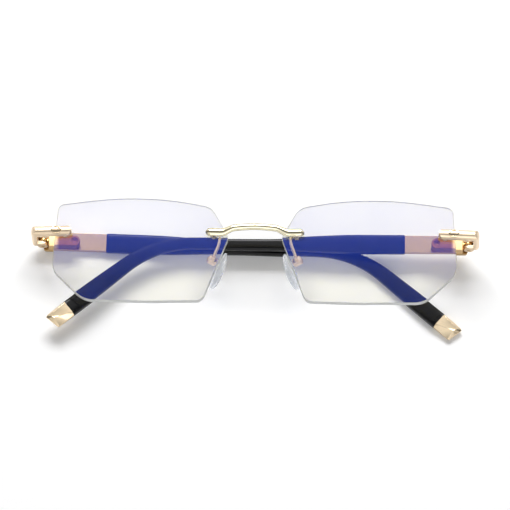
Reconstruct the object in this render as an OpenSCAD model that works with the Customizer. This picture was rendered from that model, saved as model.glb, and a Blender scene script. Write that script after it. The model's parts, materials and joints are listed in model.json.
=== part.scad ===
// Rimless eyeglasses lying on their folded temples with the lenses facing up.
// X runs across the front, Y runs from the tips toward the brow, Z runs up from the table.

/* [Lenses] */
// Width of one lens
lens_w = 54; // [48:0.5:60]
// Height of one lens
lens_h = 34; // [30:0.5:40]
// Distance between the lenses
bridge_gap = 17; // [14:0.5:22]
// Thickness of a lens
lens_t = 2; // [1.6:0.1:3]
// Radius of the lens front
lens_curve_r = 250; // [180:5:400]
// Height of the fittings above the middle of the lens
fitting_up = 5.8; // [4:0.1:7.5]

/* [Lens fittings] */
// Radius of the studs through the lenses
stud_r = 0.5; // [0.4:0.05:0.7]
// Wall of the bushes round the studs
bush_wall = 0.3; // [0.2:0.05:0.5]
// Thickness of the washers at the front and back of a lens
washer_t = 0.25; // [0.15:0.05:0.5]
// Radius of the washers
washer_r = 1.2; // [1:0.05:1.35]
// Radius of the nuts
nut_r = 1.1; // [0.95:0.05:1.3]
// Thickness of the nuts
nut_t = 1.1; // [0.8:0.1:1.6]

/* [Bridge] */
// Distance from the lens edge in to the stud at the nose
nose_stud_in = 4.3; // [3.5:0.1:6]
// Length of the bridge past its stud
bridge_past_stud = 2.6; // [1.8:0.1:3.5]
// Height of the bridge at its ends
bridge_end_h = 2.7; // [2.2:0.1:3.4]
// Height of the bridge in the middle
bridge_mid_h = 2; // [1.4:0.1:2.6]
// Depth of the bridge
bridge_d = 1.8; // [1.4:0.1:2.6]
// Rise of the bridge in the middle
bridge_rise = 1.7; // [0.8:0.1:3]
// Forward bow of the bridge in the middle
bridge_bow = 0.9; // [0.4:0.1:2]

/* [End pieces] */
// Distance from the lens edge out to the outer side of an end piece
end_reach = 7.5; // [6.8:0.1:9]
// Distance from the lens edge in to the stud at the temple
temple_stud_in = 3; // [2.6:0.1:4]
// Length of an end bar past its stud
bar_past_stud = 2.2; // [1.7:0.1:3]
// Height of an end piece
bar_h = 3; // [2.6:0.1:3.6]
// Depth of an end bar
bar_d = 2.2; // [1.8:0.1:2.8]
// Thickness of the arm that turns back to the hinge
arm_t = 1.8; // [1.4:0.1:2.2]
// Distance of the hinge axis behind the back of the end bar
hinge_depth = 8.6; // [8:0.1:10]
// Width of the oval badge
badge_w = 3.3; // [2.6:0.1:4]
// Height of the oval badge
badge_h = 2.5; // [2:0.1:2.8]
// Width of the rim round the badge
badge_rim = 0.4; // [0.3:0.05:0.6]
// Height of the badge above the bar
badge_t = 0.4; // [0.2:0.05:0.5]

/* [Hinges] */
// Radius of the hinge knuckles
knuckle_r = 1.5; // [1.3:0.05:1.6]
// Thickness of the slider eye between the knuckles
eye_t = 1.2; // [1:0.05:1.4]
// Thickness of one knuckle
knuckle_t = 1; // [0.8:0.05:1.2]
// Radius of the hinge screws
screw_r = 0.55; // [0.45:0.05:0.65]
// Radius of the hinge screw heads
screw_head_r = 1; // [0.85:0.05:1.2]
// Thickness of the hinge screw heads
screw_head_t = 0.4; // [0.3:0.05:0.6]
// Running clearance in the hinge and the spring housing
run_gap = 0.05; // [0.03:0.01:0.08]
// Gap between the hinge and the spring housing
housing_gap = 0.35; // [0.3:0.05:0.6]
// Length of a spring housing
housing_len = 9.9; // [7:0.1:11]
// Height of a spring housing
housing_h = 3.4; // [3:0.1:4]
// Depth of a spring housing in front of the hinge axis
housing_front = 1.4; // [1.3:0.05:1.7]
// Distance that a spring housing sits below the hinge axis
housing_low = 0.4; // [0:0.05:0.5]
// Radius of the spring chamber
chamber_r = 1; // [0.95:0.05:1.1]
// Length of the spring chamber
chamber_len = 4.2; // [4:0.1:5]
// Radius of the slider rod
rod_r = 0.5; // [0.4:0.05:0.55]
// Length of the bush that closes the spring chamber
spring_bush_len = 0.6; // [0.5:0.05:0.8]
// Travel of the spring hinge
spring_travel = 1.2; // [0.8:0.1:1.3]
// Radius of the spring wire
spring_wire_r = 0.11; // [0.09:0.01:0.12]
// Curls of the spring
spring_turns = 3; // [3:1:4]
// Radius of the housing rivets
rivet_r = 0.85; // [0.7:0.05:1]

/* [Temples] */
// Thickness of the metal temple plates
plate_t = 1.3; // [1:0.1:1.6]
// Height of the metal temple plates
plate_h = 5.7; // [5:0.1:6.5]
// Distance from the hinge axis to the black arm
plate_len = 20; // [18:0.5:24]
// Rise of the temple above the hinge line
temple_up = 0.7; // [0.4:0.1:1.3]
// Angle by which the temples drop along their length
temple_drop = 0.9; // [0:0.1:3]
// Distance from the hinge axis to the ear bend
bend_at = 86; // [82:0.5:92]
// Radius of the ear bend
bend_r = 34; // [28:0.5:40]
// Angle of the ear bend
bend_angle = 39; // [34:0.5:44]
// Length from the ear bend to the tip cap
tail_len = 22.5; // [18:0.5:28]
// Height of the black arm at its front
arm_front_h = 6; // [5.8:0.1:7]
// Height of the black arm where it is slimmest
arm_slim_h = 3.6; // [3:0.1:4.2]
// Height of the black arm at the tip cap
arm_end_h = 5.4; // [4.6:0.1:6]
// Thickness of the black arm at its front
arm_front_t = 3; // [2.6:0.1:3.4]
// Thickness of the black arm where it is slimmest
arm_slim_t = 2.5; // [2.2:0.1:3]
// Length of the tang inside the black arm
tang_len = 9; // [6:0.5:14]
// Length of a tip cap
cap_len = 6.8; // [5.5:0.1:9]
// Angle of the right temple toward the lenses
fold_over = 1.8; // [1.7:0.1:2.4]
// Angle of the left temple away from the lenses
fold_under = 1.8; // [1.7:0.1:2.4]

/* [Nose pads] */
// Length of a nose pad
pad_len = 13; // [11:0.5:15]
// Width of a nose pad
pad_w = 7; // [6:0.25:8]
// Thickness of a nose pad
pad_t = 2.4; // [2:0.1:3]
// Splay of a nose pad in the front view
pad_splay = 19; // [10:1:22]
// Turn of a nose pad about its length
pad_turn = 28; // [20:1:35]
// Radius of the pad arm wire
wire_r = 0.5; // [0.4:0.05:0.6]
// Radius of a pad box
box_r = 1.35; // [1.25:0.05:1.5]
// Depth of a pad box
box_d = 2.4; // [2.2:0.1:2.8]
// Height of the dome on the outer end of a pad box
box_dome = 0.55; // [0.4:0.05:0.8]
// Thickness of the pad lug
lug_t = 0.8; // [0.6:0.05:0.9]
// Radius of the pad screws
pad_screw_r = 0.4; // [0.3:0.05:0.45]
// Thickness of the pad screw heads
pad_head_t = 0.35; // [0.25:0.05:0.5]

/* [Hidden] */
$fn = 48;
left = -1;
right = 1;
// Overlap where one piece is built from several shapes
weld = 0.2;
// Clearance of pieces that are fixed together
fit = 0.02;

// Closed end of the nuts
nut_floor = 0.35;
// Ring of a pad arm under its nut
ring_t = 0.5;

// Lens places
lens_x = bridge_gap / 2 + lens_w / 2;
nose_stud_dx = nose_stud_in - lens_w / 2;
temple_stud_dx = lens_w / 2 - temple_stud_in;
bar_tilt = asin(temple_stud_dx / lens_curve_r);
temple_stud_x = lens_x + temple_stud_dx;
nose_stud_x = lens_x + nose_stud_dx;
frame_w = bridge_gap + 2 * lens_w + 2 * end_reach;
function lens_drop(dx) = lens_curve_r - sqrt(lens_curve_r * lens_curve_r - dx * dx);
lens_front_z = hinge_depth - washer_t + lens_drop(temple_stud_dx);
lens_bottom_y = -fitting_up - lens_h / 2;
lens_top_y = -fitting_up + lens_h / 2;

// Rounded outer shoulder of the end bars
shoulder_r = 2.2;
shoulder_z = hinge_depth + bar_d - shoulder_r - (frame_w / 2 - temple_stud_x) * tan(bar_tilt);

// Hinge places
pin_x = frame_w / 2 - arm_t - knuckle_r;
hinge_half_h = eye_t / 2 + run_gap + knuckle_t;
housing_s = knuckle_r + housing_gap;
plate_z = -(arm_t + knuckle_r - plate_t);
housing_back = -plate_z;
arm_mid_z = plate_z - plate_t / 2;
spring_room = 1.3;
collar_s = housing_s + spring_bush_len + spring_travel + spring_room;
collar_t = 0.5;

// Temple path: straight, ear bend, tail
bend_len = bend_r * bend_angle * PI / 180;
arm_end_s = bend_at + bend_len + tail_len;
function path_turn(s) = s < bend_at ? 0 : min(bend_angle, (s - bend_at) / bend_r * 180 / PI);
function bend_point(a) = [bend_at + bend_r * sin(a), temple_up - bend_r * (1 - cos(a))];
function path_point(s) =
  s < bend_at ? [s, temple_up] :
  s < bend_at + bend_len ? bend_point(path_turn(s)) :
  bend_point(bend_angle) + (s - bend_at - bend_len) * [cos(bend_angle), -sin(bend_angle)];
function blend(a, b, k) = a + (b - a) * (3 - 2 * k) * k * k;
function ramp(s, a, b) = max(0, min(1, (s - a) / (b - a)));
taper_at = 1.7 * plate_len;
slim_at = 0.75 * bend_at;
flare_gap = 4;
flare_at = bend_at + flare_gap;
flare_end = arm_end_s - flare_gap;
function arm_h_at(s) = s < slim_at
  ? blend(arm_front_h, arm_slim_h, ramp(s, taper_at, slim_at))
  : blend(arm_slim_h, arm_end_h, ramp(s, flare_at, flare_end));
function arm_t_at(s) = s < slim_at
  ? blend(arm_front_t, arm_slim_t, ramp(s, plate_len, slim_at))
  : blend(arm_slim_t, arm_front_t, ramp(s, flare_at, arm_end_s));

// Lowest corner of a tip cap, in the frame of the front
cap_end_share = 0.93;
cap_side_share = -0.95;
cap_low = path_point(arm_end_s + cap_end_share * cap_len)
  + cap_side_share * arm_end_h / 2 * [sin(bend_angle), cos(bend_angle)];
cap_low_y = cap_low[0] * sin(-temple_drop) + cap_low[1] * cos(temple_drop);

// The arm of an end piece has a rounded end beside the hinge
arm_end_r = 0.45 * arm_t;

// The part lies on the outer side of the left temple arm
rest_x = (shoulder_z + arm_end_r) * sin(fold_under) / 2;
rest_y = -(lens_top_y + cap_low_y) / 2;
rest_z = pin_x * sin(fold_under) + arm_front_t / 2 - arm_mid_z;

// Frames
module at_rest() {
  translate([rest_x, rest_y, rest_z])
    rotate([0, -fold_under, 0])
      children();
}

module on_side(side) {
  mirror([side < 0 ? 1 : 0, 0, 0])
    children();
}

// Hinge frame of a temple: x along the temple, y up the hinge axis, z toward the lens
module on_hinge(side) {
  translate([side * pin_x, 0, 0])
    mirror([side > 0 ? 1 : 0, 0, 0])
      rotate([0, side < 0 ? fold_under : -fold_over, 0])
        children();
}

module on_temple(side) {
  on_hinge(side)
    rotate([0, 0, -temple_drop])
      children();
}

// Frame on the lens front at a stud, with z pointing out of the lens
module on_lens(dx) {
  translate([lens_x + dx, 0, lens_front_z - lens_drop(dx)])
    rotate([0, asin(dx / lens_curve_r), 0])
      children();
}

module along_y(r, h) {
  rotate([90, 0, 0])
    cylinder(r = r, h = h, center = true);
}

module along_x(r, h) {
  rotate([0, 90, 0])
    cylinder(r = r, h = h);
}

// Solid through a list of rings that have equal counts of points
module loft(rings) {
  n = len(rings[0]);
  m = len(rings);
  sides = [
    for (i = [0 : m - 2], j = [0 : n - 1], half = [0, 1])
      let (a = i * n + j, b = i * n + (j + 1) % n)
      half == 0 ? [a, b, b + n] : [a, b + n, a + n]
  ];
  first = [for (j = [1 : n - 2]) [0, j + 1, j]];
  last = [for (j = [1 : n - 2]) [(m - 1) * n, (m - 1) * n + j, (m - 1) * n + j + 1]];
  polyhedron(points = [for (ring = rings, p = ring) p], faces = concat(sides, first, last));
}

// Polygon with a radius at each corner, given as [x, y, r]
function rounded(corners) = [
  for (i = [0 : len(corners) - 1])
    let (
      n = len(corners),
      c = [corners[i][0], corners[i][1]],
      before = [corners[(i + n - 1) % n][0], corners[(i + n - 1) % n][1]] - c,
      after = [corners[(i + 1) % n][0], corners[(i + 1) % n][1]] - c,
      u = before / norm(before),
      v = after / norm(after),
      half = acos(u * v) / 2,
      r = corners[i][2],
      mid = c + (u + v) / norm(u + v) * r / sin(half),
      start = atan2((c + u * r / tan(half) - mid)[1], (c + u * r / tan(half) - mid)[0]),
      end = atan2((c + v * r / tan(half) - mid)[1], (c + v * r / tan(half) - mid)[0]),
      turn = (end - start + 540) % 360 - 180,
      steps = max(2, ceil(abs(turn) / 9))
    )
    for (k = [0 : steps]) mid + r * [cos(start + turn * k / steps), sin(start + turn * k / steps)]
];

// Lens outline about its middle, with the nose at low x. Corners as [x, y, radius] in shares
// of the lens width, its height and the radius that the corner is measured by
long_r = lens_w * lens_w / lens_h;
lens_shares = [
  [-0.506, 0.135, 0.088, lens_h],
  [-0.404, 0.429, 0.147, lens_h],
  [-0.130, 0.500, 1.108, long_r],
  [0.167, 0.500, 1.108, long_r],
  [0.485, 0.444, 0.065, lens_h],
  [0.517, -0.191, 0.206, lens_h],
  [0.326, -0.488, 0.235, lens_h],
  [-0.056, -0.503, 1.049, long_r],
  [-0.359, -0.485, 0.094, lens_h]
];
lens_corners = [for (c = lens_shares) [c[0] * lens_w, c[1] * lens_h, c[2] * c[3]]];

lens_facets = 240;

module lens(side) {
  color([0.85, 0.87, 0.95, 0.4])
    at_rest()
      on_side(side)
        difference() {
          intersection() {
            translate([lens_x, -fitting_up, 0])
              linear_extrude(height = 3 * hinge_depth)
                polygon(rounded(lens_corners));
            translate([lens_x, 0, lens_front_z - lens_curve_r])
              difference() {
                sphere(r = lens_curve_r, $fn = lens_facets);
                sphere(r = lens_curve_r - lens_t, $fn = lens_facets);
              }
          }
          for (dx = [nose_stud_dx, temple_stud_dx])
            on_lens(dx)
              cylinder(r = stud_r + bush_wall + 2 * fit, h = 4 * lens_t, center = true);
        }
}

module at_studs() {
  at_rest()
    for (side = [left, right])
      on_side(side)
        for (dx = [nose_stud_dx, temple_stud_dx])
          on_lens(dx)
            children();
}

// The ring of a pad arm sits under the nut at the nose
function nut_z(dx) = -lens_t - washer_t - 2 * fit - nut_t - (dx < 0 ? ring_t + fit : 0);

module lens_bushes() {
  color("whitesmoke")
    at_studs()
      translate([0, 0, -lens_t])
        difference() {
          cylinder(r = stud_r + bush_wall + fit, h = lens_t);
          cylinder(r = stud_r + fit, h = 3 * lens_t, center = true);
        }
}

// A washer before and behind each lens at each stud
module lens_washers() {
  color("whitesmoke")
    at_studs()
      for (z = [fit, -lens_t - washer_t - fit])
        translate([0, 0, z])
          difference() {
            cylinder(r = washer_r, h = washer_t - fit);
            translate([0, 0, -washer_t])
              cylinder(r = stud_r + fit, h = 3 * washer_t);
          }
}

module lens_nuts() {
  color("gold")
    at_rest()
      for (side = [left, right])
        on_side(side)
          for (dx = [nose_stud_dx, temple_stud_dx])
            on_lens(dx)
              translate([0, 0, nut_z(dx)])
                difference() {
                  intersection() {
                    cylinder(r = nut_r, h = nut_t, $fn = 6);
                    translate([0, 0, nut_t])
                      sphere(r = nut_t * 1.3);
                  }
                  translate([0, 0, nut_floor])
                    cylinder(r = stud_r + fit, h = nut_t);
                }
}

module stud(dx, front_z) {
  back_z = nut_z(dx) + nut_floor + fit;
  translate([0, 0, back_z])
    cylinder(r = stud_r, h = front_z - back_z);
}

// Bridge
bridge_reach = nose_stud_x + bridge_past_stud;
bridge_flat = nose_stud_x - 1.7 * washer_r;
bridge_stations = 40;
// Most of the rise is a quick step beside the ends, and the rest a slow arch
step_run = 0.42 * bridge_flat;
step_share = 0.68;
function bridge_arch(x) =
  abs(x) > bridge_flat ? 0 :
  blend(0, step_share, ramp(bridge_flat - abs(x), 0, step_run))
    + (1 - step_share) * (0.5 + 0.5 * cos(180 * x / bridge_flat));
function bridge_end(x) =
  let (k = max(0, abs(x) - bridge_reach + bridge_end_h / 2) / (bridge_end_h / 2))
  sqrt(max(0.03, 1 - k * k));
bridge_back_z = lens_front_z - lens_drop(nose_stud_dx) + washer_t + fit;
bridge_slope = asin(-nose_stud_dx / lens_curve_r);
function bridge_back(x) =
  bridge_back_z + tan(bridge_slope) * (max(abs(x), bridge_flat) - nose_stud_x) + bridge_bow * bridge_arch(x);
function bridge_ring(x) =
  let (
    h = blend(bridge_end_h, bridge_mid_h, bridge_arch(x)) / 2 * bridge_end(x),
    d = bridge_d * (0.55 + 0.45 * bridge_end(x)),
    y = bridge_rise * bridge_arch(x),
    z = bridge_back(x)
  )
  [
    [x, y - 0.8 * h, z], [x, y - h, z + 0.25 * d], [x, y - h, z + 0.5 * d], [x, y - 0.78 * h, z + 0.78 * d],
    [x, y - 0.1 * h, z + d], [x, y + 0.4 * h, z + 0.98 * d], [x, y + 0.85 * h, z + 0.78 * d],
    [x, y + h, z + 0.5 * d], [x, y + h, z + 0.25 * d], [x, y + 0.8 * h, z]
  ];

module bridge() {
  color("gold")
    at_rest() {
      loft([for (i = [0 : bridge_stations]) bridge_ring(bridge_reach * (2 * i / bridge_stations - 1))]);
      for (side = [left, right])
        on_side(side)
          on_lens(nose_stud_dx)
            stud(nose_stud_dx, washer_t + bridge_d / 2);
    }
}

// End pieces
bar_inner = -bar_past_stud;
bar_outer_x = frame_w / 2;
crown_r = bar_h * 0.57;
outer_end_r = 0.36 * bar_h;

// Bar along the lens front, in the frame of its stud
module end_bar() {
  bar_len = (bar_outer_x - temple_stud_x) / cos(bar_tilt) + bar_past_stud;
  intersection() {
    translate([bar_inner, 0, washer_t]) {
      translate([bar_h / 2, 0, 0])
        cylinder(r = bar_h / 2, h = bar_d);
      translate([bar_h / 2, -bar_h / 2, 0])
        cube([bar_len - bar_h / 2, bar_h, bar_d]);
    }
    translate([bar_inner, 0, washer_t + bar_d - crown_r])
      along_x(crown_r, bar_len);
  }
}

module end_piece(side) {
  arm_x = bar_outer_x - arm_t;
  color("gold")
    at_rest()
      on_side(side)
        difference() {
          union() {
            intersection() {
              union() {
                on_lens(temple_stud_dx)
                  end_bar();
                // Arm back to the hinge
                translate([arm_x, -bar_h / 2, 0])
                  cube([arm_t, bar_h, hinge_depth]);
              }
              // Rounded outer end
              translate([0, 0, -hinge_depth])
                linear_extrude(height = 3 * hinge_depth)
                  polygon(rounded([
                    [0, -bar_h / 2, outer_end_r],
                    [bar_outer_x, -bar_h / 2, outer_end_r],
                    [bar_outer_x, bar_h / 2, outer_end_r],
                    [0, bar_h / 2, outer_end_r]
                  ]));
              // Rounded outer shoulder
              translate([0, bar_h, 0])
                rotate([90, 0, 0])
                  linear_extrude(height = 2 * bar_h)
                    polygon(rounded([
                      [0, 0, arm_end_r],
                      [bar_outer_x, 0, arm_end_r],
                      [bar_outer_x, shoulder_z + shoulder_r, shoulder_r],
                      [0, shoulder_z + shoulder_r + bar_outer_x * tan(bar_tilt), arm_end_r]
                    ]));
            }
            // Knuckles above and below the slider eye
            for (up = [-1, 1])
              translate([pin_x, up * (eye_t / 2 + run_gap + knuckle_t / 2), 0]) {
                along_y(knuckle_r, knuckle_t);
                translate([0, -knuckle_t / 2, 0])
                  cube([knuckle_r + weld, knuckle_t, 1.4 * knuckle_r]);
              }
            on_lens(temple_stud_dx)
              stud(temple_stud_dx, washer_t + bar_d / 2);
          }
          // Hinge screw hole
          translate([pin_x, 0, 0])
            along_y(screw_r + fit, 4 * bar_h);
        }
}

badge_at = 0.8 * temple_stud_in;
module badge(side) {
  color("goldenrod")
    at_rest()
      on_side(side)
        on_lens(temple_stud_dx)
          translate([badge_at, 0, washer_t + bar_d - crown_r])
            difference() {
              intersection() {
                badge_oval(0);
                translate([-badge_w, 0, 0])
                  along_x(crown_r + badge_t, 2 * badge_w);
              }
              translate([-badge_w, 0, 0])
                along_x(crown_r, 2 * badge_w);
              intersection() {
                badge_oval(badge_rim);
                difference() {
                  translate([-badge_w, 0, 0])
                    along_x(2 * crown_r, 2 * badge_w);
                  translate([-badge_w, 0, 0])
                    along_x(crown_r + badge_t / 4, 2 * badge_w);
                }
              }
            }
}

// Oval of two round ends, drawn in by a rim
module badge_oval(rim) {
  r = badge_h / 2 - rim;
  for (x = [badge_h - badge_w, badge_w - badge_h] / 2)
    translate([x, 0, 0])
      cylinder(r = r, h = 2 * crown_r);
  translate([(badge_h - badge_w) / 2, -r, 0])
    cube([badge_w - badge_h, 2 * r, 2 * crown_r]);
}

drive_slot_w = 0.24;
module hinge_screw(side) {
  color("gold")
    at_rest()
      on_side(side)
        translate([pin_x, 0, 0]) {
          along_y(screw_r, 2 * hinge_half_h);
          difference() {
            translate([0, hinge_half_h + fit + screw_head_t / 2, 0])
              along_y(screw_head_r, screw_head_t);
            // Screwdriver slot
            translate([-screw_head_r, hinge_half_h + fit + screw_head_t * 0.6, -drive_slot_w / 2])
              cube([2 * screw_head_r, screw_head_t, drive_slot_w]);
          }
          translate([0, hinge_half_h, 0])
            along_y(screw_r, screw_head_t);
        }
}

// Spring hinge
module hinge_slider(side) {
  color("gold")
    at_rest()
      on_hinge(side)
        difference() {
          union() {
            along_y(knuckle_r - run_gap, eye_t);
            translate([0, -eye_t / 2, -rod_r])
              cube([housing_s - fit, eye_t, 2 * rod_r]);
            along_x(rod_r, collar_s + collar_t);
            translate([collar_s, 0, 0])
              along_x(chamber_r - run_gap, collar_t);
          }
          along_y(screw_r + run_gap, 4 * eye_t);
        }
}

// One unbroken helix between the bush and the collar
spring_sides = 6;
spring_rings = 8;
spring_mean_r = (rod_r + chamber_r) / 2;
spring_start = housing_s + spring_bush_len + spring_wire_r + fit;
spring_run = collar_s - spring_start - spring_wire_r - fit;
function spring_ring(k) =
  let (a = 360 * k / spring_rings, x = spring_start + spring_run * k / (spring_rings * spring_turns))
  [
    for (j = [0 : spring_sides - 1])
      let (b = 360 * j / spring_sides, r = spring_mean_r + spring_wire_r * cos(b))
      [x + spring_wire_r * sin(b), r * cos(a), r * sin(a)]
  ];

module hinge_spring(side) {
  color("silver")
    at_rest()
      on_hinge(side)
        loft([for (k = [0 : spring_rings * spring_turns]) spring_ring(k)]);
}

module spring_bush(side) {
  color("goldenrod")
    at_rest()
      on_hinge(side)
        translate([housing_s, 0, 0])
          difference() {
            along_x(chamber_r - fit, spring_bush_len);
            translate([-weld, 0, 0])
              along_x(rod_r + run_gap, spring_bush_len + 2 * weld);
          }
}

rivet_s = housing_s + housing_len - housing_h / 2;
module spring_housing(side) {
  color("gold")
    at_rest()
      on_hinge(side)
        difference() {
          union() {
            translate([rivet_s, -housing_low, -housing_back])
              cylinder(r = housing_h / 2, h = housing_back + housing_front);
            translate([housing_s, -housing_h / 2 - housing_low, -housing_back])
              cube([rivet_s - housing_s, housing_h, housing_back + housing_front]);
          }
          // Spring chamber
          translate([housing_s - weld, 0, 0])
            along_x(chamber_r, chamber_len + weld);
          // Rivet hole
          translate([rivet_s, -housing_low, -2 * housing_back])
            cylinder(r = rivet_r + fit, h = 4 * housing_back);
        }
}

module housing_rivet(side) {
  sunk = 0.35;
  color("goldenrod")
    at_rest()
      on_hinge(side)
        translate([rivet_s, -housing_low, -housing_back + fit])
          difference() {
            cylinder(r = rivet_r, h = housing_back + housing_front - sunk);
            translate([0, 0, housing_back + housing_front - 2 * sunk])
              cylinder(r = rivet_r * 0.6, h = 2 * sunk);
          }
}

// Temples
tang_h = 2.6;
tang_t = 0.8;
plate_front = 0.25;
module temple_plate(side) {
  corner_r = 0.8;
  plate_end_r = 0.1;
  color("gold")
    at_rest()
      on_temple(side)
        translate([0, temple_up, plate_z - plate_t]) {
          linear_extrude(height = plate_t)
            polygon(rounded([
              [plate_front, -plate_h / 2, corner_r],
              [plate_len, -plate_h / 2, plate_end_r],
              [plate_len, plate_h / 2, plate_end_r],
              [plate_front, plate_h / 2, corner_r]
            ]));
          translate([plate_len - weld, -tang_h / 2, (plate_t - tang_t) / 2])
            cube([tang_len + weld, tang_h, tang_t]);
        }
}

// Rounded section of the black arm, square to its path
arm_sides = 20;
arm_square = 0.45;
arm_full = pow(cos(180 / arm_sides), arm_square);
function arm_ring(s) =
  let (p = path_point(s), a = path_turn(s), h = arm_h_at(s) / 2, t = arm_t_at(s) / 2)
  [
    for (j = [0 : arm_sides - 1])
      let (
        b = 360 * (j + 0.5) / arm_sides,
        up = h / arm_full * sign(sin(b)) * pow(abs(sin(b)), arm_square),
        out = t / arm_full * sign(cos(b)) * pow(abs(cos(b)), arm_square)
      )
      [p[0] + up * sin(a), p[1] + up * cos(a), arm_mid_z + out]
  ];
arm_steps = 34;

module temple_arm(side) {
  color([0.06, 0.06, 0.07])
    at_rest()
      on_temple(side)
        difference() {
          loft([for (i = [0 : arm_steps]) arm_ring(plate_len + (arm_end_s - plate_len) * i / arm_steps)]);
          translate([plate_len - weld, temple_up - tang_h / 2 - fit, arm_mid_z - tang_t / 2 - fit])
            cube([tang_len + weld + fit, tang_h + 2 * fit, tang_t + 2 * fit]);
        }
}

// Cap points as [along the cap, across it, through it], in shares of its length and half sizes
cap_rings = [
  [
    [0, -1, -0.55], [0, -1, 0.3], [0, -0.67, 1], [0, 0.8, 1],
    [0, 1, 0.4], [0, 1, -0.55], [0, 0.7, -1], [0, -0.7, -1]
  ],
  [
    [0.45, -1, -0.55], [0.45, -1, 0.2], [0.45, -0.3, 1], [0.5, 0.7, 0.95],
    [0.5, 1, 0.3], [0.5, 1, -0.55], [0.5, 0.7, -1], [0.5, -0.7, -1]
  ],
  [
    [0.87, -1, -0.5], [0.87, -1, 0.05], [0.83, 0.1, 0.85], [0.92, 0.6, 0.6],
    [0.98, 0.97, 0.1], [0.98, 0.97, -0.5], [0.85, 0.6, -1], [0.78, -0.6, -1]
  ],
  [
    [cap_end_share, cap_side_share, -0.4], [cap_end_share, cap_side_share, -0.05],
    [0.98, -0.1, 0.1], [1.04, 0.5, 0.05],
    [1.07, 0.86, -0.05], [1.07, 0.86, -0.4], [1.01, 0.4, -0.55], [0.96, -0.5, -0.55]
  ]
];
function cap_point(q) =
  let (p = path_point(arm_end_s + q[0] * cap_len), up = q[1] * arm_end_h / 2)
  [p[0] + up * sin(bend_angle), p[1] + up * cos(bend_angle), arm_mid_z + q[2] * arm_front_t / 2];

module tip_cap(side) {
  color("gold")
    at_rest()
      on_temple(side)
        loft([for (ring = cap_rings) [for (q = ring) cap_point(q)]]);
}

// Nose pads
// Place of a pad box beside, below and behind the fitting at the nose
box_out = 0.6;
box_down = 7.8;
box_behind = 4.8;
box_place = [nose_stud_x + box_out, -box_down, bridge_back_z - box_behind];
pad_gap = 0.85;
pad_shift = box_d / 2 + pad_gap;
// Distance of the middle of the pad below its screw
pad_down = 1.7;
lug_r = 0.75;
lug_h = 1.3;
slot_half_h = 1.05;

// Frame of a pad: x from the pad to its box, y along the pad, z across it
module at_box() {
  translate(box_place)
    rotate([0, 0, pad_splay])
      rotate([0, -pad_turn, 0])
        children();
}

module on_pad(side) {
  on_side(side)
    at_box()
      children();
}

// Wire from a ring under the nut at the nose, down behind the lens to the pad box
ring_r = washer_r;
ring_z = nut_z(nose_stud_dx) + nut_t + fit;
tab_len = 2;
tab_h = 1;
wire_start_r = 0.4 * ring_t;
wire_start_in = tab_len - 0.5;
arm_start = [
  nose_stud_x - wire_start_in,
  0,
  lens_front_z - lens_drop(nose_stud_dx) + ring_z + ring_t / 2 - wire_start_in * tan(bridge_slope)
];
pad_up = [-sin(pad_splay), cos(pad_splay), 0];
arm_foot = box_place + (box_r + fit) * pad_up;
arm_pull = arm_start + [-0.6, -1.6, -1.4];
arm_push = arm_foot + 3.2 * pad_up;
wire_sides = 12;
wire_steps = 18;
function arm_at(k) =
  let (m = 1 - k)
  m * m * m * arm_start + 3 * k * m * m * arm_pull + 3 * k * k * m * arm_push + k * k * k * arm_foot;
function wire_ring(k) =
  let (
    run = arm_at(k + 0.001) - arm_at(k - 0.001),
    across = cross(run, [0.3, 0, 1]),
    u = across / norm(across),
    v = cross(u, run) / norm(run),
    r = blend(wire_start_r, wire_r, ramp(k, 0.02, 0.22))
  )
  [
    for (j = [0 : wire_sides - 1])
      let (turn = 360 * j / wire_sides)
      arm_at(k) + r * (cos(turn) * u + sin(turn) * v)
  ];

module pad_arm(side) {
  color("gold")
    at_rest()
      on_side(side) {
        on_lens(nose_stud_dx)
          translate([0, 0, ring_z])
            linear_extrude(height = ring_t)
              difference() {
                union() {
                  circle(r = ring_r);
                  translate([-tab_len, -tab_h / 2])
                    square([tab_len, tab_h]);
                }
                circle(r = stud_r + fit);
              }
        loft([for (i = [0 : wire_steps]) wire_ring(i / wire_steps)]);
      }
}

dome_r = (box_r * box_r + box_dome * box_dome) / (2 * box_dome);
module pad_box(side) {
  color("gold")
    at_rest()
      on_pad(side)
        difference() {
          intersection() {
            translate([-box_d / 2, 0, 0])
              along_x(box_r, box_d + 2 * box_dome);
            translate([box_d / 2 + box_dome - dome_r, 0, 0])
              sphere(r = dome_r);
          }
          translate([-box_d, -slot_half_h, -lug_t / 2 - run_gap])
            cube([box_d + lug_r + 2 * run_gap, 2 * slot_half_h, lug_t + 2 * run_gap]);
          cylinder(r = pad_screw_r + fit, h = 4 * box_r, center = true);
        }
}

module pad_screw(side) {
  color("goldenrod")
    at_rest()
      on_pad(side) {
        cylinder(r = pad_screw_r, h = 2 * (box_r + fit) + pad_head_t, center = true);
        translate([0, 0, box_r + fit])
          cylinder(r = 2 * pad_screw_r, h = pad_head_t);
      }
}

core_reach = pad_shift + pad_t * 0.2;
module pad_core(side) {
  color("whitesmoke")
    at_rest()
      on_pad(side)
        difference() {
          union() {
            cylinder(r = lug_r, h = lug_t, center = true);
            translate([-core_reach, -lug_h / 2, -lug_t / 2])
              cube([core_reach, lug_h, lug_t]);
          }
          cylinder(r = pad_screw_r + run_gap, h = 4 * lug_t, center = true);
        }
}

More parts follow.
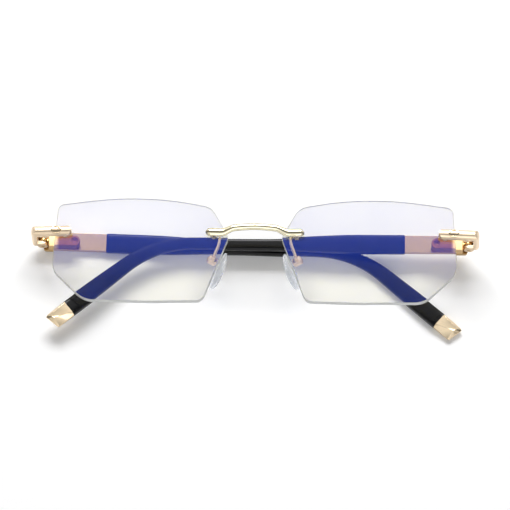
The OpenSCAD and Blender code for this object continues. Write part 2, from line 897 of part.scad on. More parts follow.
// Teardrop pad with a domed face toward the nose
pad_top_r = 0.36 * pad_w;
module nose_pad(side) {
  color([0.9, 0.93, 0.97, 0.6])
    at_rest()
      on_pad(side)
        difference() {
          translate([-pad_shift - pad_t / 2, -pad_down, 0])
            hull() {
              translate([0, pad_w / 2 - pad_len / 2, 0])
                scale([pad_t / pad_w, 1, 1])
                  sphere(r = pad_w / 2, $fn = 28);
              translate([0, pad_len / 2 - pad_top_r, 0])
                scale([pad_t / pad_w, 1, 1])
                  sphere(r = pad_top_r, $fn = 28);
            }
          translate([-core_reach - fit, -lug_h / 2 - fit, -lug_t / 2 - fit])
            cube([2 * core_reach, lug_h + 2 * fit, lug_t + 2 * fit]);
        }
}

lens(left);  // left_lens
lens(right);  // right_lens
bridge();
lens_bushes();
lens_washers();
lens_nuts();
pad_arm(left);  // left_pad_arm
pad_arm(right);  // right_pad_arm
pad_box(left);  // left_pad_box
pad_box(right);  // right_pad_box
pad_screw(left);  // left_pad_screw
pad_screw(right);  // right_pad_screw
pad_core(left);  // left_pad_core
pad_core(right);  // right_pad_core
nose_pad(left);  // left_nose_pad
nose_pad(right);  // right_nose_pad
end_piece(left);  // left_end_piece
end_piece(right);  // right_end_piece
badge(left);  // left_badge
badge(right);  // right_badge
hinge_screw(left);  // left_hinge_screw
hinge_screw(right);  // right_hinge_screw
hinge_slider(left);  // left_hinge_slider
hinge_slider(right);  // right_hinge_slider
hinge_spring(left);  // left_hinge_spring
hinge_spring(right);  // right_hinge_spring
spring_bush(left);  // left_spring_bush
spring_bush(right);  // right_spring_bush
spring_housing(left);  // left_spring_housing
spring_housing(right);  // right_spring_housing
housing_rivet(left);  // left_housing_rivet
housing_rivet(right);  // right_housing_rivet
temple_plate(left);  // left_temple_plate
temple_plate(right);  // right_temple_plate
temple_arm(left);  // left_temple_arm
temple_arm(right);  // right_temple_arm
tip_cap(left);  // left_tip_cap
tip_cap(right);  // right_tip_cap
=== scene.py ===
"""Rimless eyeglasses lying on their folded temples, lenses up, on a white table."""
import json
import math

import bmesh
import bpy
from mathutils import Matrix, Vector

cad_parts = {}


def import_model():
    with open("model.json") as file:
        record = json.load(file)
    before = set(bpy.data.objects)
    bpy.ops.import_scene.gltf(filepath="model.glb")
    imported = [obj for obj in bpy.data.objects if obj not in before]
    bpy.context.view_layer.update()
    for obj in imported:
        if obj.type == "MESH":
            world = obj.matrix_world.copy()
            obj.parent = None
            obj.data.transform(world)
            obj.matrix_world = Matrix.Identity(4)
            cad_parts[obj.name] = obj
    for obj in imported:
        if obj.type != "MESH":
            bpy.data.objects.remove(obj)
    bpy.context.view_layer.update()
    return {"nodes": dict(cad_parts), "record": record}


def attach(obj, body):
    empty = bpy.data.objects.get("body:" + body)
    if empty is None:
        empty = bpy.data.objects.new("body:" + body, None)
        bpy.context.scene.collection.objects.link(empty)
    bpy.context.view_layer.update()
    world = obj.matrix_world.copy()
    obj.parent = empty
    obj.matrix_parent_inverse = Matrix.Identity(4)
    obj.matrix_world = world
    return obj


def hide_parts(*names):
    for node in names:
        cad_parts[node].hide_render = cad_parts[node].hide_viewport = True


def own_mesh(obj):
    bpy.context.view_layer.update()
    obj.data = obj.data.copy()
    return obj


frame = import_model()

MM = 0.001
scene = bpy.context.scene
nodes = frame["nodes"]
body_of_node = {n: b for b, members in frame["record"]["behaviour"]["bodies"].items() for n in members}
SIDES = {"left": -1, "right": 1}

# Sizes of the part in millimetres, as the solids have them
LENS_W, LENS_H, BRIDGE_GAP, LENS_T, LENS_R, FITTING_UP = 54.0, 34.0, 17.0, 2.0, 250.0, 5.8
NOSE_STUD_IN, TEMPLE_STUD_IN, HINGE_DEPTH, WASHER_T = 4.3, 3.0, 8.6, 0.25
BUSH_R = 0.84
FRAME_W, ARM_T, KNUCKLE_R, BAR_D, SHOULDER_R = 140.0, 1.8, 1.5, 2.2, 2.2
PLATE_T, PLATE_LEN, TEMPLE_UP, TEMPLE_DROP, FOLD = 1.3, 20.0, 0.7, 0.9, 1.8
BEND_AT, BEND_R, BEND, TAIL, CAP_LEN = 86.0, 34.0, 39.0, 22.5, 6.8
ARM_FRONT_H, ARM_SLIM_H, ARM_END_H, ARM_FRONT_T, ARM_SLIM_T = 6.0, 3.6, 5.4, 3.0, 2.5
ARM_SQUARE, FLARE_GAP, CAP_END_SHARE, CAP_SIDE_SHARE = 0.45, 4.0, 0.93, 0.95
PAD_LEN, PAD_W, PAD_T, PAD_SPLAY, PAD_TURN, PAD_DOWN, PAD_GAP = 13.0, 7.0, 2.4, 19.0, 28.0, 1.7, 0.85
BOX_D, BOX_OUT, BOX_DOWN, BOX_BEHIND = 2.4, 0.6, 7.8, 4.8
FIT, SPRING_TRAVEL = 0.02, 1.2

# Finish of the pieces, in millimetres and degrees
EDGE_ROUNDS, FLAT_UNDER, RIM_STEP, RIM_CHAMFER, ARM_EDGE = 2, 1.0, 1.2, 0.16, 0.12
# Distances from the middle: the spring housing is painted dark plum as shade under the lens up to the first,
# and is gold from the second
PAINTED_SHADE_UP_TO, GOLD_FROM = 61.0, 62.6

# The photograph's frame, in pixels
FRAME_PX, PX_PER_METRE = 510, 3207.0


def sin(degrees):
    return math.sin(math.radians(degrees))


def cos(degrees):
    return math.cos(math.radians(degrees))


# Places that follow from the sizes
LENS_X = BRIDGE_GAP / 2 + LENS_W / 2
NOSE_DX = NOSE_STUD_IN - LENS_W / 2
TEMPLE_DX = LENS_W / 2 - TEMPLE_STUD_IN
PIN_X = FRAME_W / 2 - ARM_T - KNUCKLE_R
PLATE_Z = -(ARM_T + KNUCKLE_R - PLATE_T)
ARM_MID_Z = PLATE_Z - PLATE_T / 2
BEND_LEN = BEND_R * math.radians(BEND)
ARM_END_S = BEND_AT + BEND_LEN + TAIL
ARM_END_R = 0.45 * ARM_T
TAPER_AT, SLIM_AT = 1.7 * PLATE_LEN, 0.75 * BEND_AT
FLARE_AT, FLARE_END = BEND_AT + FLARE_GAP, ARM_END_S - FLARE_GAP


def lens_drop(dx):
    return LENS_R - math.sqrt(LENS_R ** 2 - dx ** 2)


LENS_FRONT_Z = HINGE_DEPTH - WASHER_T + lens_drop(TEMPLE_DX)
BRIDGE_BACK_Z = LENS_FRONT_Z - lens_drop(NOSE_DX) + WASHER_T + FIT
BOX_PLACE = (LENS_X + NOSE_DX + BOX_OUT, -BOX_DOWN, BRIDGE_BACK_Z - BOX_BEHIND)


def path_turn(s):
    return 0.0 if s < BEND_AT else min(BEND, math.degrees((s - BEND_AT) / BEND_R))


def path_point(s):
    if s < BEND_AT:
        return s, TEMPLE_UP
    a = path_turn(s)
    x, y = BEND_AT + BEND_R * sin(a), TEMPLE_UP - BEND_R * (1 - cos(a))
    tail = max(0.0, s - BEND_AT - BEND_LEN)
    return x + tail * cos(BEND), y - tail * sin(BEND)


def rest_frame():
    """Frame of the front, tilted as the part lies on its left temple."""
    x, y = path_point(ARM_END_S + CAP_END_SHARE * CAP_LEN)
    below = CAP_SIDE_SHARE * ARM_END_H / 2
    low = (x - below * sin(BEND), y - below * cos(BEND))
    low_y = low[0] * sin(-TEMPLE_DROP) + low[1] * cos(TEMPLE_DROP)
    tilt = math.tan(math.asin(TEMPLE_DX / LENS_R))
    shoulder_z = HINGE_DEPTH + BAR_D - SHOULDER_R - (FRAME_W / 2 - LENS_X - TEMPLE_DX) * tilt
    place = Vector((
        (shoulder_z + ARM_END_R) * sin(FOLD) / 2,
        -(LENS_H / 2 - FITTING_UP + low_y) / 2,
        PIN_X * sin(FOLD) + ARM_FRONT_T / 2 - ARM_MID_Z,
    ))
    return Matrix.Translation(place) @ Matrix.Rotation(math.radians(-FOLD), 4, "Y")


FRONT = rest_frame()
MIRROR = Matrix.Diagonal((-1, 1, 1, 1))


def side_frame(side):
    return FRONT @ MIRROR if side < 0 else FRONT.copy()


def hinge_frame(side):
    """x along the spring hinge, y up the hinge axis, z toward the lens."""
    turn = FOLD if side < 0 else -FOLD
    hinge = Matrix.Translation((side * PIN_X, 0, 0))
    if side > 0:
        hinge = hinge @ MIRROR
    return FRONT @ hinge @ Matrix.Rotation(math.radians(turn), 4, "Y")


def temple_frame(side):
    """The hinge frame turned down to the temple, so that x runs along it."""
    return hinge_frame(side) @ Matrix.Rotation(math.radians(-TEMPLE_DROP), 4, "Z")


def pad_frame(side):
    splay = Matrix.Rotation(math.radians(PAD_SPLAY), 4, "Z")
    turn = splay @ Matrix.Rotation(math.radians(-PAD_TURN), 4, "Y")
    return side_frame(side) @ Matrix.Translation(BOX_PLACE) @ turn


# Meshes

def to_object(name, bm, place=None):
    """An object in metres from a mesh in millimetres in the given frame."""
    bm.transform(Matrix.Scale(MM, 4) @ (place or Matrix.Identity(4)))
    bmesh.ops.recalc_face_normals(bm, faces=bm.faces)
    mesh = bpy.data.meshes.new(name)
    bm.to_mesh(mesh)
    bm.free()
    obj = bpy.data.objects.new(name, mesh)
    scene.collection.objects.link(obj)
    return obj


def shade(obj, sharp_over):
    obj.data.shade_smooth()
    obj.data.set_sharp_from_angle(angle=math.radians(sharp_over))


def ring_loft(bm, rings):
    """A closed skin over rings of points."""
    rows = [[bm.verts.new(p) for p in ring] for ring in rings]
    count = len(rows[0])
    for a, b in zip(rows, rows[1:]):
        for j in range(count):
            bm.faces.new((a[j], a[(j + 1) % count], b[(j + 1) % count], b[j]))
    bm.faces.new(rows[0])
    bm.faces.new(rows[-1])


def claim(obj, node, material=None):
    """obj stands for a solid: it rides on its body and has its finish."""
    if material:
        obj.data.materials.clear()
        obj.data.materials.append(material)
    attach(obj, body_of_node[node])
    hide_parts(node)
    return obj


def polished(node, material, edge, sharp_over=30.0, flatten=True):
    """The solid of a node with its edges broken as by polishing."""
    bm = bmesh.new()
    bm.from_mesh(nodes[node].data)
    bmesh.ops.remove_doubles(bm, verts=bm.verts, dist=1e-7)
    if flatten:
        bmesh.ops.dissolve_limit(bm, angle_limit=math.radians(FLAT_UNDER), verts=bm.verts, edges=bm.edges)
    mesh = bpy.data.meshes.new(node + "_polished")
    bm.to_mesh(mesh)
    bm.free()
    obj = bpy.data.objects.new(node + "_polished", mesh)
    scene.collection.objects.link(obj)
    mesh.shade_smooth()
    if edge:
        bevel = obj.modifiers.new("broken_edges", "BEVEL")
        bevel.width = edge * MM
        bevel.segments = EDGE_ROUNDS
        bevel.limit_method = "ANGLE"
        bevel.angle_limit = math.radians(sharp_over)
        even = obj.modifiers.new("even_faces", "WEIGHTED_NORMAL")
        even.weight = 100
    else:
        mesh.set_sharp_from_angle(angle=math.radians(sharp_over))
    return claim(obj, node, material)


# Materials

def new_group(name, inputs, outputs):
    group = bpy.data.node_groups.new(name, "ShaderNodeTree")
    for label, kind, value in inputs:
        socket = group.interface.new_socket(label, in_out="INPUT", socket_type=kind)
        socket.default_value = value
    for label, kind in outputs:
        group.interface.new_socket(label, in_out="OUTPUT", socket_type=kind)
    start = group.nodes.new("NodeGroupInput")
    end = group.nodes.new("NodeGroupOutput")
    return group, start, end


def add(tree, kind, inputs=None, **settings):
    node = tree.nodes.new(kind)
    for key, value in settings.items():
        setattr(node, key, value)
    for key, value in (inputs or {}).items():
        if isinstance(value, bpy.types.NodeSocket):
            tree.links.new(value, node.inputs[key])
        else:
            node.inputs[key].default_value = value
    return node


def smudge_group():
    """Faint finger marks and wipe marks, as a mask from 0 to 1."""
    group, start, end = new_group(
        "finger_marks",
        [("Scale", "NodeSocketFloat", 60.0)],
        [("Mask", "NodeSocketFloat"), ("Fine", "NodeSocketFloat")],
    )
    place = add(group, "ShaderNodeTexCoord")
    broad = add(group, "ShaderNodeTexNoise", {
        "Vector": place.outputs["Object"], "Scale": start.outputs["Scale"],
        "Detail": 3.0, "Roughness": 0.6, "Distortion": 0.6,
    })
    finer = 14.0
    fine_scale = add(group, "ShaderNodeMath", {0: start.outputs["Scale"], 1: finer}, operation="MULTIPLY")
    fine = add(group, "ShaderNodeTexNoise", {
        "Vector": place.outputs["Object"], "Scale": fine_scale.outputs[0], "Detail": 2.0,
    })
    faint, full = 0.42, 0.72
    mask = add(group, "ShaderNodeMapRange", {
        "Value": broad.outputs["Fac"], "From Min": faint, "From Max": full,
    })
    group.links.new(mask.outputs["Result"], end.inputs["Mask"])
    group.links.new(fine.outputs["Fac"], end.inputs["Fine"])
    return group


def hairline_group():
    """Polishing lines drawn out along X, as a height from 0 to 1."""
    group, start, end = new_group(
        "polishing_lines",
        [("Density", "NodeSocketFloat", 9000.0), ("Length", "NodeSocketFloat", 0.03)],
        [("Height", "NodeSocketFloat")],
    )
    place = add(group, "ShaderNodeTexCoord")
    squeeze = add(group, "ShaderNodeCombineXYZ", {"X": start.outputs["Length"], "Y": 1.0, "Z": 1.0})
    drawn = add(group, "ShaderNodeVectorMath", {0: place.outputs["Object"], 1: squeeze.outputs[0]},
                operation="MULTIPLY")
    lines = add(group, "ShaderNodeTexNoise", {
        "Vector": drawn.outputs[0], "Scale": start.outputs["Density"], "Detail": 1.0,
    })
    group.links.new(lines.outputs["Fac"], end.inputs["Height"])
    return group


FINGER_MARKS = smudge_group()
POLISHING_LINES = hairline_group()


def new_material(name):
    material = bpy.data.materials.new(name)
    material.use_nodes = True
    tree = material.node_tree
    return material, tree, tree.nodes["Principled BSDF"], tree.nodes["Material Output"]


def use_group(tree, group, **values):
    node = tree.nodes.new("ShaderNodeGroup")
    node.node_tree = group
    for key, value in values.items():
        node.inputs[key].default_value = value
    return node


def ramp_between(tree, factor, low, high):
    node = add(tree, "ShaderNodeMapRange", {"Value": factor, "To Min": low, "To Max": high})
    return node.outputs["Result"]


def colour_between(tree, factor, a, b):
    # The colour sockets come after the value and vector sockets of the same names
    node = add(tree, "ShaderNodeMix", {0: factor, 6: (*a, 1), 7: (*b, 1)}, data_type="RGBA")
    return node.outputs[2]


def metal(name, light, deep, rough_low, rough_high, line_depth):
    material, tree, shader, _ = new_material(name)
    marks = use_group(tree, FINGER_MARKS, Scale=180.0)
    lines = use_group(tree, POLISHING_LINES, Density=14000.0, Length=0.04)
    colour = colour_between(tree, marks.outputs["Mask"], light, deep)
    tree.links.new(colour, shader.inputs["Base Color"])
    rough = ramp_between(tree, marks.outputs["Fine"], rough_low, rough_high)
    tree.links.new(rough, shader.inputs["Roughness"])
    bump = add(tree, "ShaderNodeBump", {
        "Strength": line_depth, "Distance": 0.02 * MM, "Height": lines.outputs["Height"],
    })
    tree.links.new(bump.outputs["Normal"], shader.inputs["Normal"])
    shader.inputs["Metallic"].default_value = 1.0
    return material


def housing_gold_with_painted_shade():
    """Gold where the housing meets the hinge, running along the temple into a dark plum that is painted shade
    where the lens lies over the housing.
    """
    # The dark plum colour is painted shade from the lens over the housing, not the housing's own colour
    material = metal("gold_with_painted_lens_shade", (0.25, 0.10, 0.035), (0.21, 0.085, 0.03), 0.32, 0.42, 0.2)
    tree = material.node_tree
    shader = tree.nodes["Principled BSDF"]
    place = add(tree, "ShaderNodeTexCoord")
    parts = add(tree, "ShaderNodeSeparateXYZ", {0: place.outputs["Object"]})
    off_middle = add(tree, "ShaderNodeMath", {0: parts.outputs["X"]}, operation="ABSOLUTE")
    hinge_end = add(tree, "ShaderNodeMapRange", {
        "Value": off_middle.outputs[0], "From Min": PAINTED_SHADE_UP_TO * MM, "From Max": GOLD_FROM * MM,
    }, interpolation_type="SMOOTHSTEP")
    # This dark colour is painted shade under the lens; gold takes over toward the hinge end, out from under
    # the lens
    painted_shade = shader.inputs["Base Color"].links[0].from_socket
    gold = (0.90, 0.63, 0.33, 1)
    colour = add(tree, "ShaderNodeMix", {0: hinge_end.outputs["Result"], 6: painted_shade, 7: gold}, data_type="RGBA")
    tree.links.new(colour.outputs[2], shader.inputs["Base Color"])
    return material


def black_acetate():
    material, tree, shader, _ = new_material("black_acetate")
    marks = use_group(tree, FINGER_MARKS, Scale=90.0)
    colour = colour_between(tree, marks.outputs["Mask"], (0.003, 0.003, 0.0035), (0.005, 0.005, 0.006))
    tree.links.new(colour, shader.inputs["Base Color"])
    tree.links.new(ramp_between(tree, marks.outputs["Fine"], 0.16, 0.24), shader.inputs["Roughness"])
    shader.inputs["Specular IOR Level"].default_value = 0.14
    shader.inputs["Coat Weight"].default_value = 0.2
    shader.inputs["Coat Roughness"].default_value = 0.05
    return material


def clear_for_shadows(tree, shader, output, tint):
    """Lets lamp light through, so that the glass throws only a faint shadow."""
    path = add(tree, "ShaderNodeLightPath")
    clear = add(tree, "ShaderNodeBsdfTransparent", {"Color": (*tint, 1)})
    mix = add(tree, "ShaderNodeMixShader", {0: path.outputs["Is Shadow Ray"]})
    tree.links.new(shader.outputs[0], mix.inputs[1])
    tree.links.new(clear.outputs[0], mix.inputs[2])
    tree.links.new(mix.outputs[0], output.inputs["Surface"])


def coated_lens():
    material, tree, shader, output = new_material("coated_lens")
    marks = use_group(tree, FINGER_MARKS, Scale=45.0)
    tree.links.new(ramp_between(tree, marks.outputs["Mask"], 0.0, 0.015), shader.inputs["Roughness"])
    colour = colour_between(tree, marks.outputs["Mask"], (0.83, 0.83, 0.875), (0.81, 0.81, 0.86))
    tree.links.new(colour, shader.inputs["Base Color"])
    shader.inputs["IOR"].default_value = 2.27
    shader.inputs["Transmission Weight"].default_value = 1.0
    shader.inputs["Specular Tint"].default_value = (0.05, 0.12, 1.0, 1.0)
    clear_for_shadows(tree, shader, output, (0.995, 0.995, 0.997))
    return material


def ground_edge():
    """Fine-ground and buffed rim of the lenses."""
    material, tree, shader, output = new_material("lens_edge")
    marks = use_group(tree, FINGER_MARKS, Scale=400.0)
    colour = colour_between(tree, marks.outputs["Fine"], (0.98, 0.99, 0.98), (0.93, 0.95, 0.94))
    tree.links.new(colour, shader.inputs["Base Color"])
    tree.links.new(ramp_between(tree, marks.outputs["Fine"], 0.2, 0.4), shader.inputs["Roughness"])
    shader.inputs["IOR"].default_value = 1.5
    shader.inputs["Transmission Weight"].default_value = 0.3
    clear_for_shadows(tree, shader, output, (0.94, 0.94, 0.945))
    return material


def clear_silicone():
    material, tree, shader, output = new_material("clear_silicone")
    marks = use_group(tree, FINGER_MARKS, Scale=300.0)
    colour = colour_between(tree, marks.outputs["Mask"], (0.95, 0.97, 1.0), (0.90, 0.93, 0.97))
    tree.links.new(colour, shader.inputs["Base Color"])
    tree.links.new(ramp_between(tree, marks.outputs["Fine"], 0.06, 0.16), shader.inputs["Roughness"])
    shader.inputs["IOR"].default_value = 1.42
    shader.inputs["Transmission Weight"].default_value = 0.75
    clear_for_shadows(tree, shader, output, (0.93, 0.94, 0.95))
    return material


def clear_nylon():
    material, tree, shader, output = new_material("clear_nylon")
    marks = use_group(tree, FINGER_MARKS, Scale=500.0)
    colour = colour_between(tree, marks.outputs["Mask"], (0.96, 0.96, 0.96), (0.92, 0.92, 0.92))
    tree.links.new(colour, shader.inputs["Base Color"])
    tree.links.new(ramp_between(tree, marks.outputs["Fine"], 0.25, 0.4), shader.inputs["Roughness"])
    shader.inputs["Transmission Weight"].default_value = 0.95
    clear_for_shadows(tree, shader, output, (0.85, 0.85, 0.85))
    return material


GOLD = metal("pale_gold", (0.88, 0.72, 0.50), (0.82, 0.65, 0.43), 0.12, 0.22, 0.12)
BRIDGE_GOLD = metal("champagne_gold", (0.82, 0.76, 0.55), (0.78, 0.70, 0.48), 0.10, 0.18, 0.1)
BAR_GOLD = metal("satin_pale_gold", (0.90, 0.73, 0.53), (0.85, 0.68, 0.48), 0.34, 0.42, 0.12)
DEEP_GOLD = metal("deep_gold", (0.62, 0.40, 0.17), (0.50, 0.31, 0.12), 0.14, 0.24, 0.12)
SATIN_GOLD = metal("satin_rose_gold", (0.60, 0.42, 0.21), (0.56, 0.39, 0.19), 0.16, 0.24, 0.3)
HOUSING_GOLD_AND_PAINTED_SHADE = housing_gold_with_painted_shade()
SPRING_WIRE = metal("spring_wire", (0.75, 0.75, 0.76), (0.62, 0.62, 0.64), 0.18, 0.3, 0.2)
ACETATE = black_acetate()
LENS = coated_lens()
LENS_EDGE = ground_edge()
SILICONE = clear_silicone()
NYLON = clear_nylon()


# Lenses

# Corners: x as a share of the lens width, y of its height, the rounding of the length that ends the row
LONG_R = LENS_W ** 2 / LENS_H
LENS_SHARES = [
    (-0.506, 0.135, 0.088, LENS_H),
    (-0.404, 0.429, 0.147, LENS_H),
    (-0.130, 0.500, 1.108, LONG_R),
    (0.167, 0.500, 1.108, LONG_R),
    (0.485, 0.444, 0.065, LENS_H),
    (0.517, -0.191, 0.206, LENS_H),
    (0.326, -0.488, 0.235, LENS_H),
    (-0.056, -0.503, 1.049, LONG_R),
    (-0.359, -0.485, 0.094, LENS_H),
]
LENS_CORNERS = [(x * LENS_W, y * LENS_H, r * measure) for x, y, r, measure in LENS_SHARES]


def rounded(corners):
    """Points round a polygon with a radius at each corner."""
    step = 3.0
    points = []
    count = len(corners)
    for i, (x, y, r) in enumerate(corners):
        c = Vector((x, y))
        u = (Vector(corners[i - 1][:2]) - c).normalized()
        v = (Vector(corners[(i + 1) % count][:2]) - c).normalized()
        half = math.acos(u.dot(v)) / 2
        mid = c + (u + v).normalized() * r / math.sin(half)
        first = c + u * r / math.tan(half) - mid
        last = c + v * r / math.tan(half) - mid
        start = math.atan2(first.y, first.x)
        turn = (math.atan2(last.y, last.x) - start + 3 * math.pi) % (2 * math.pi) - math.pi
        steps = max(3, math.ceil(abs(math.degrees(turn)) / step))
        points += [mid + r * Vector((math.cos(start + turn * k / steps), math.sin(start + turn * k / steps)))
                   for k in range(steps + 1)]
    return points


def evenly(points, gap):
    """The closed line through points, with a point about every gap."""
    out = []
    for a, b in zip(points, points[1:] + points[:1]):
        steps = max(1, round((b - a).length / gap))
        out += [a.lerp(b, k / steps) for k in range(steps)]
    return out


def inset(points, d):
    out = []
    for i, p in enumerate(points):
        along = (points[(i + 1) % len(points)] - points[i - 1]).normalized()
        out.append(p + d * Vector((along.y, -along.x)))
    return out


def lens(name, side):
    """Curved lens with a ground rim, buffed corners and drilled stud holes."""
    outline = [p + Vector((0, -FITTING_UP)) for p in evenly(rounded(LENS_CORNERS), RIM_STEP)]
    narrow = inset(outline, RIM_CHAMFER)
    if max(p.x for p in narrow) > max(p.x for p in outline):
        narrow = inset(outline, -RIM_CHAMFER)

    def on_sphere(p, r):
        return Vector((LENS_X + p.x, p.y, LENS_FRONT_Z - LENS_R + math.sqrt(r * r - p.x ** 2 - p.y ** 2)))

    middle = Vector((0, -FITTING_UP))
    shrink = [1, 0.97, 0.92, 0.84, 0.72, 0.58, 0.42, 0.24, 0.08]
    front = [[on_sphere(middle.lerp(p, k), LENS_R) for p in narrow] for k in reversed(shrink)]
    back = [[on_sphere(middle.lerp(p, k), LENS_R - LENS_T) for p in narrow] for k in shrink]
    wall_radii = (LENS_R - RIM_CHAMFER, LENS_R - LENS_T + RIM_CHAMFER)
    walls = [[on_sphere(p, r) for p in outline] for r in wall_radii]
    bm = bmesh.new()
    ring_loft(bm, front + walls + back)
    rim_rows = (len(front) - 1, len(front) + len(walls))
    count = len(outline)
    bm.faces.ensure_lookup_table()
    for i, face in enumerate(bm.faces):
        face.material_index = 1 if rim_rows[0] <= i // count < rim_rows[1] else 0
    obj = to_object(name, bm, side_frame(side))
    obj.data.materials.append(LENS)
    obj.data.materials.append(LENS_EDGE)
    for dx in (NOSE_DX, TEMPLE_DX):
        drill = bmesh.new()
        at = Matrix.Translation((LENS_X + dx, 0, LENS_FRONT_Z - lens_drop(dx)))
        at = at @ Matrix.Rotation(math.asin(dx / LENS_R), 4, "Y")
        bmesh.ops.create_cone(drill, cap_ends=True, segments=40, radius1=BUSH_R, radius2=BUSH_R,
                              depth=4 * LENS_T, matrix=at)
        cutter = to_object("drill", drill, side_frame(side))
        hole = obj.modifiers.new("stud_hole", "BOOLEAN")
        hole.object = cutter
        hole.operation = "DIFFERENCE"
        hole.solver = "EXACT"
        bpy.context.view_layer.update()
        cut = bpy.data.meshes.new_from_object(obj.evaluated_get(bpy.context.evaluated_depsgraph_get()))
        obj.modifiers.clear()
        obj.data = cut
        bpy.data.objects.remove(cutter)
    shade(obj, 25.0)
    node = name.replace("_ground", "")
    return claim(obj, node)


LENSES = [lens(word + "_lens_ground", side) for word, side in SIDES.items()]


# Temples

def blend(a, b, k):
    return a + (b - a) * (3 - 2 * k) * k * k


def ramp(s, a, b):
    return max(0.0, min(1.0, (s - a) / (b - a)))


def arm_height(s):
    if s < SLIM_AT:
        return blend(ARM_FRONT_H, ARM_SLIM_H, ramp(s, TAPER_AT, SLIM_AT))
    return blend(ARM_SLIM_H, ARM_END_H, ramp(s, FLARE_AT, FLARE_END))


def arm_thick(s):
    if s < SLIM_AT:
        return blend(ARM_FRONT_T, ARM_SLIM_T, ramp(s, PLATE_LEN, SLIM_AT))
    return blend(ARM_SLIM_T, ARM_FRONT_T, ramp(s, FLARE_AT, ARM_END_S))


def arm_ring(s, shrink=0.0):
    """Squared oval section of the temple arm at s along it."""
    count = 40
    x, y = path_point(s)
    a = path_turn(s)
    h, t = arm_height(s) / 2 - shrink, arm_thick(s) / 2 - shrink
    ring = []
    for j in range(count):
        b = 2 * math.pi * (j + 0.5) / count
        up = h * math.copysign(abs(math.sin(b)) ** ARM_SQUARE, math.sin(b))
        out = t * math.copysign(abs(math.cos(b)) ** ARM_SQUARE, math.cos(b))
        ring.append((x + up * sin(a), y + up * cos(a), ARM_MID_Z + out))
    return ring


def temple_arm(name, side):
    steps = 150
    stations = [PLATE_LEN + (ARM_END_S - PLATE_LEN) * i / steps for i in range(steps + 1)]
    rings = [arm_ring(stations[0], shrink=ARM_EDGE), arm_ring(stations[0] + ARM_EDGE)]
    rings += [arm_ring(s) for s in stations[1:]]
    bm = bmesh.new()
    ring_loft(bm, rings)
    obj = to_object(name, bm, temple_frame(side))
    shade(obj, 50.0)
    return claim(obj, name.replace("_smooth", ""), ACETATE)


for word, side in SIDES.items():
    temple_arm(word + "_temple_arm_smooth", side)


# Nose pads

def nose_pad(name, side):
    """Clear teardrop pad, narrower at the top, with domed faces and a rounded rim."""
    bm = bmesh.new()
    rows = []
    count, levels = 36, 9
    half = PAD_LEN / 2
    middle_wide, narrowing, fullness = 0.86, 0.14, 0.7
    for i in range(levels):
        tilt = math.pi * (i + 0.5) / levels - math.pi / 2
        ring = []
        for j in range(count):
            a = 2 * math.pi * j / count
            along = math.sin(a)
            wide = PAD_W / 2 * (middle_wide - narrowing * along) * math.cos(a)
            r = math.cos(tilt) ** fullness
            ring.append((PAD_T / 2 * math.sin(tilt), half * along * r, wide * r))
        rows.append(ring)
    ring_loft(bm, rows)
    shift = Matrix.Translation((-(BOX_D / 2 + PAD_GAP) - PAD_T / 2, -PAD_DOWN, 0))
    obj = to_object(name, bm, pad_frame(side) @ shift)
    round_off = obj.modifiers.new("soft_form", "SUBSURF")
    round_off.levels = round_off.render_levels = 1
    obj.data.shade_smooth()
    claim(obj, name.replace("_clear", ""), SILICONE)
    return obj


for word, side in SIDES.items():
    nose_pad(word + "_nose_pad_clear", side)


# Metal

def hinge_spring(word, side):
    """Coil of the spring hinge in spring wire, on a mesh of its own."""
    coil = polished(f"{word}_hinge_spring", SPRING_WIRE, edge=0, sharp_over=60.0, flatten=False)
    along = (hinge_frame(side).to_3x3() @ Vector((1, 0, 0))).normalized()
    points = sorted((v.co.copy() for v in coil.data.vertices), key=along.dot)
    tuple(points[-1])
    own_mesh(coil)


polished("bridge", BRIDGE_GOLD, edge=0, sharp_over=28.0, flatten=False)
polished("lens_nuts", GOLD, edge=0.06)
polished("lens_washers", NYLON, edge=0.04)
polished("lens_bushes", NYLON, edge=0)
for word, side in SIDES.items():
    polished(f"{word}_end_piece", BAR_GOLD, edge=0.22)
    for piece, edge in (("badge", 0.06), ("tip_cap", 0.12), ("pad_screw", 0.06)):
        polished(f"{word}_{piece}", GOLD, edge=edge)
    polished(f"{word}_pad_box", BAR_GOLD, edge=0.08)
    for piece, edge in (("hinge_screw", 0.05), ("hinge_slider", 0.07), ("spring_bush", 0.04)):
        polished(f"{word}_{piece}", DEEP_GOLD, edge=edge)
    # The housing and its rivet carry painted shade where the lens lies over them
    for piece, edge in (("spring_housing", 0.2), ("housing_rivet", 0.05)):
        polished(f"{word}_{piece}", HOUSING_GOLD_AND_PAINTED_SHADE, edge=edge)
    polished(f"{word}_pad_arm", GOLD, edge=0, sharp_over=45.0, flatten=False)
    polished(f"{word}_temple_plate", SATIN_GOLD, edge=0.12)
    polished(f"{word}_pad_core", NYLON, edge=0.05)
    hinge_spring(word, side)


# Table, light and camera

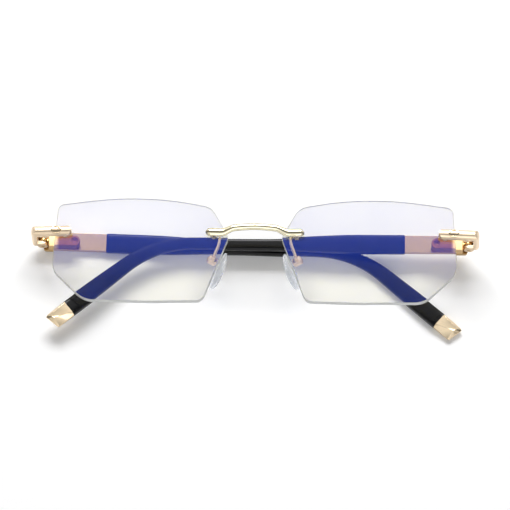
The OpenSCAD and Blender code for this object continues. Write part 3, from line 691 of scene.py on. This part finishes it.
def floor():
    """White table, lifted a little toward white where the camera, gold or glass shows it."""
    half_size, lift_seen, share_behind_glass = 1500, 0.14, 0.42
    bm = bmesh.new()
    bmesh.ops.create_grid(bm, x_segments=1, y_segments=1, size=half_size)
    obj = to_object("table", bm)
    material, tree, shader, output = new_material("white_table")
    tree.nodes.remove(shader)
    paper = add(tree, "ShaderNodeBsdfDiffuse", {"Color": (0.97, 0.97, 0.972, 1)})
    path = add(tree, "ShaderNodeLightPath")
    plain = add(tree, "ShaderNodeMath", {0: path.outputs["Is Camera Ray"], 1: path.outputs["Is Glossy Ray"]},
                operation="MAXIMUM")
    behind = add(tree, "ShaderNodeMath", {0: path.outputs["Is Transmission Ray"], 1: share_behind_glass},
                 operation="MULTIPLY")
    seen = add(tree, "ShaderNodeMath", {0: plain.outputs[0], 1: behind.outputs[0]}, operation="MAXIMUM")
    lift = add(tree, "ShaderNodeMath", {0: seen.outputs[0], 1: lift_seen}, operation="MULTIPLY")
    glow = add(tree, "ShaderNodeEmission", {"Color": (1, 1, 1, 1), "Strength": lift.outputs[0]})
    both = add(tree, "ShaderNodeAddShader")
    tree.links.new(paper.outputs[0], both.inputs[0])
    tree.links.new(glow.outputs[0], both.inputs[1])
    tree.links.new(both.outputs[0], output.inputs["Surface"])
    obj.data.materials.append(material)


def world():
    """Room that is bright on the brow and near sides, dimmer overhead and low down."""
    scene.world = bpy.data.worlds.new("studio_room")
    scene.world.use_nodes = True
    tree = scene.world.node_tree
    background = tree.nodes["Background"]
    background.inputs["Color"].default_value = (1, 1, 1, 1)
    place = add(tree, "ShaderNodeTexCoord")
    parts = add(tree, "ShaderNodeSeparateXYZ", {0: place.outputs["Generated"]})

    def wall(axis, start, end, dark, bright):
        ramp_node = add(tree, "ShaderNodeMapRange", {
            "Value": parts.outputs[axis], "From Min": start, "From Max": end, "To Min": dark, "To Max": bright,
        }, interpolation_type="SMOOTHSTEP")
        return ramp_node.outputs["Result"]

    brow = wall("Y", 0.21, 0.38, 0.15, 1.15)
    near = wall("Y", -0.2, -0.55, 0.2, 0.95)
    upper = wall("Z", 0.1, 0.4, 0.4, 1.0)
    dome = add(tree, "ShaderNodeMath", {0: brow, 1: near}, operation="MAXIMUM")
    room = add(tree, "ShaderNodeMath", {0: dome.outputs[0], 1: upper}, operation="MULTIPLY")
    path = add(tree, "ShaderNodeLightPath")
    share_as_light = 0.4
    dim = add(tree, "ShaderNodeMath", {0: room.outputs[0], 1: share_as_light}, operation="MULTIPLY")
    mirror = add(tree, "ShaderNodeMix", {
        0: path.outputs["Is Glossy Ray"], 2: dim.outputs[0], 3: room.outputs[0],
    })
    seen = add(tree, "ShaderNodeMath", {
        0: path.outputs["Is Camera Ray"], 1: path.outputs["Is Transmission Ray"],
    }, operation="MAXIMUM")
    strength = add(tree, "ShaderNodeMix", {0: seen.outputs[0], 2: mirror.outputs[0], 3: 1.0})
    tree.links.new(strength.outputs[0], background.inputs["Strength"])


def lamp(name, place, aim, size, watts):
    light = bpy.data.lights.new(name, "AREA")
    light.shape = "RECTANGLE"
    light.size, light.size_y = size
    light.energy = watts
    obj = bpy.data.objects.new(name, light)
    obj.location = place
    obj.rotation_euler = (Vector(aim) - Vector(place)).to_track_quat("-Z", "Y").to_euler()
    scene.collection.objects.link(obj)
    return obj


def keep_glare_off(light, glasses):
    """Leaves the lamp's own mirror image out of the glass, as a polarised softbox does."""
    shy = bpy.data.collections.new("no_glare")
    for glass in glasses:
        shy.objects.link(glass)
    for member in shy.collection_objects:
        member.light_linking.link_state = "EXCLUDE"
    light.light_linking.receiver_collection = shy


def camera():
    """Long lens at the photograph's viewing angle."""
    elevation, roll, distance, sensor = 69.0, 1.2, 2.5, 36.0
    frame_width = FRAME_PX / PX_PER_METRE
    aim = Vector((0.0, 0.0013, 0.016))
    data = bpy.data.cameras.new("camera")
    data.sensor_width = sensor
    data.lens = sensor * distance / frame_width
    data.clip_start, data.clip_end = 0.05, 20.0
    obj = bpy.data.objects.new("camera", data)
    back = Vector((0, -cos(elevation), sin(elevation)))
    turn = (-back).to_track_quat("-Z", "Y").to_matrix().to_4x4()
    rolled = turn @ Matrix.Rotation(math.radians(roll), 4, "Z")
    obj.matrix_world = Matrix.Translation(aim + back * distance) @ rolled
    scene.collection.objects.link(obj)
    scene.camera = obj


floor()
world()
softbox = lamp("brow_softbox", (0, 0.8, 0.85), (0, 0, 0), (0.9, 0.42), 13.0)
keep_glare_off(softbox, LENSES)
lamp("near_fill", (0.2, -0.9, 0.7), (0, 0, 0), (0.8, 0.5), 1.5)
camera()
scene.view_settings.view_transform = "Standard"
